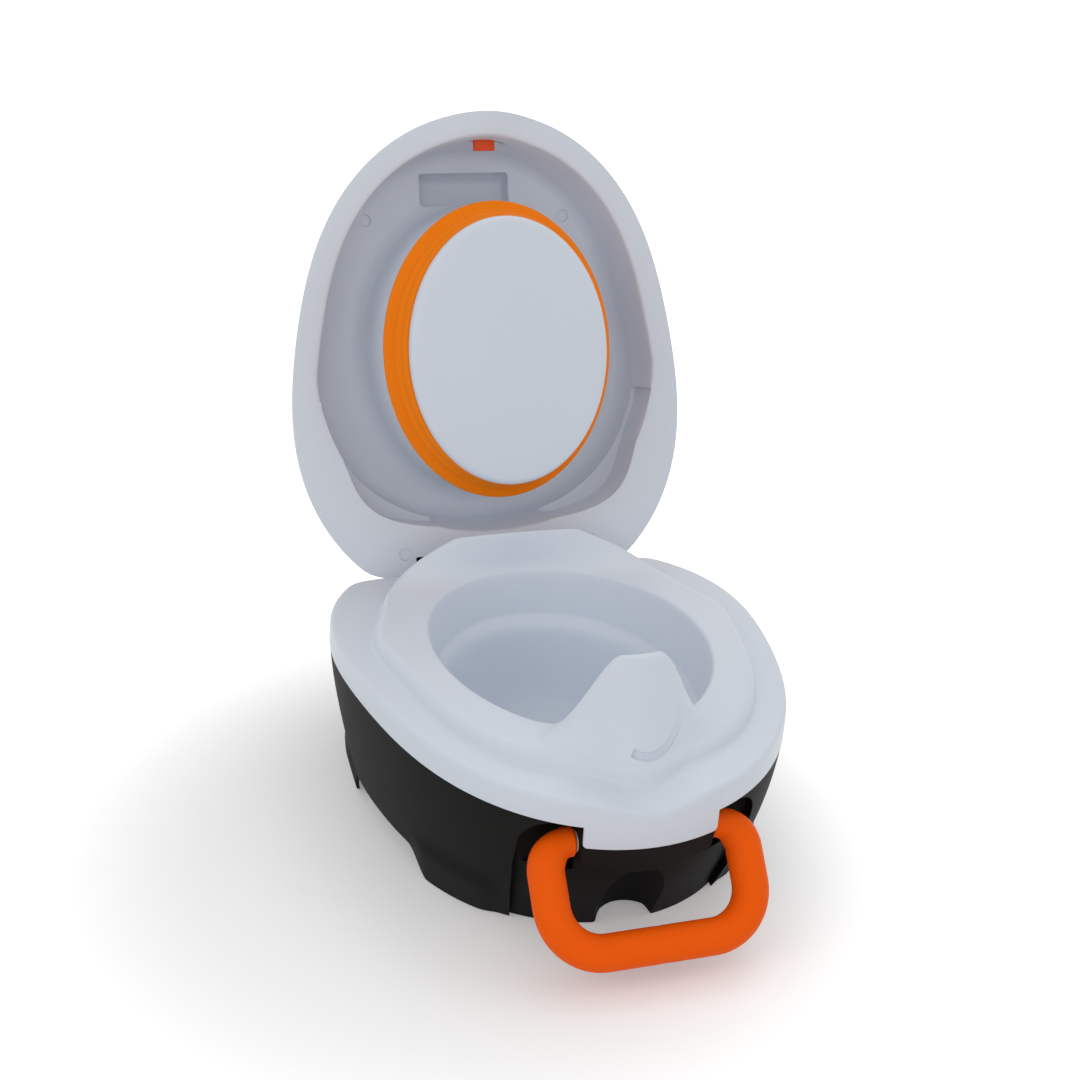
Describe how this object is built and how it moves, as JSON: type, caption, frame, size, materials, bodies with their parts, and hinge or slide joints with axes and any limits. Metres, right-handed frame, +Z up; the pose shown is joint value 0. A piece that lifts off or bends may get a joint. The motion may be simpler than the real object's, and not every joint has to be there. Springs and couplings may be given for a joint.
{
  "type": "potty training chair",
  "caption": "Portable potty in an egg-shaped carry case: hinged lid with a sealing plug, seat ring with splash guard and bowl, swinging carry handle and turning lid latch.",
  "frame": {"origin": "on the floor under the middle of the whole part, handle to open lid, on the plane of symmetry of the case", "axes": "+Z up, -Y towards the carry handle and splash guard, +Y towards the lid hinge, +X across the seat"},
  "size_m": [0.2644, 0.467, 0.3863],
  "materials": {
    "shell_charcoal": "fine matte texture",
    "moulding_white": "satin, faint cool tint",
    "handle_orange": "soft touch",
    "latch_orange": "satin",
    "seal_orange": "smooth moulded rubber",
    "pad_rubber": "matt",
    "washer_nylon": "natural nylon",
    "pin_steel": "drawn",
    "screw_steel": "zinc plated"
  },
  "bodies": {
    "base": {"base_shell": "shell_charcoal", "seat_bowl": "moulding_white", "foot_pads": "pad_rubber", "base_screws": "screw_steel", "handle_pins": "pin_steel", "handle_washers": "washer_nylon"},
    "handle": {"handle": "handle_orange"},
    "lid": {"lid_shell": "shell_charcoal", "lid_liner": "moulding_white", "plug_cap": "moulding_white", "plug_screws": "screw_steel", "seal_gasket": "seal_orange", "lid_screws": "screw_steel", "screw_plugs": "moulding_white", "hinge_pins": "pin_steel", "hinge_washers": "washer_nylon"},
    "latch": {"latch_lever": "latch_orange", "latch_knob": "handle_orange", "knob_screw": "screw_steel"}
  },
  "joints": [
    {"name": "lid_hinge", "type": "hinge", "parent": "base", "child": "lid", "pos_m": [0, 0.08785, 0.1052], "axis": [1, 0, 0], "range_deg": [0, 107.5]},
    {"name": "handle_pivot", "type": "hinge", "parent": "base", "child": "handle", "pos_m": [0, -0.18335, 0.069], "axis": [-1, 0, 0], "range_deg": [-25, 85]},
    {"name": "latch_turn", "type": "hinge", "parent": "lid", "child": "latch", "pos_m": [0.003, 0.20097, 0.36155], "axis": [0, 0.3007, 0.9537], "range_deg": [0, 32]}
  ]
}
